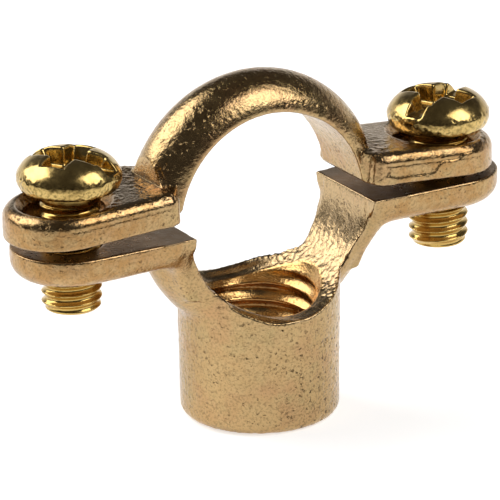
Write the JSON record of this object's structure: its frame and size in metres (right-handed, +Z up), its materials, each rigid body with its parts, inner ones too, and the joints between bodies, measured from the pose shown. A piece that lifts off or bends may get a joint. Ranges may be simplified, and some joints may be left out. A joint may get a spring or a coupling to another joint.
{
  "type": "pipe ring clamp",
  "caption": "Cast brass split pipe ring with a threaded boss, closed by machine screws through its ears.",
  "frame": {"origin": "centre of the boss's lower face, on the axis of the threaded rod", "axes": "+Z up along the rod's axis towards the pipe, X along the ears, Y along the pipe"},
  "size_m": [0.0443, 0.013, 0.0287],
  "materials": {
    "cast_brass": "as cast, tumbled, softly shiny",
    "turned_brass": "bright, drawn and rolled"
  },
  "bodies": {
    "base": {"base_ring": "cast_brass"},
    "strap": {"top_strap": "cast_brass"},
    "left_screw": {"screw_left": "turned_brass"},
    "right_screw": {"screw_right": "turned_brass"}
  },
  "joints": [
    {"name": "strap_lift", "type": "slide", "parent": "base", "child": "strap", "axis": [0, 0, 1], "range_m": [-0.0002, 0.0045]},
    {"name": "left_screw_turn", "type": "hinge", "parent": "strap", "child": "left_screw", "pos_m": [-0.017, 0, 0.01738], "axis": [0, 0, 1], "range_deg": [-92, 2027]},
    {"name": "right_screw_turn", "type": "hinge", "parent": "strap", "child": "right_screw", "pos_m": [0.017, 0, 0.01738], "axis": [0, 0, 1], "range_deg": [-92, 2027]}
  ],
  "couplings": [
    {"joint": "left_screw_turn", "follows": "strap_lift", "rad_per_m": 7854},
    {"joint": "right_screw_turn", "follows": "strap_lift", "rad_per_m": 7854}
  ]
}
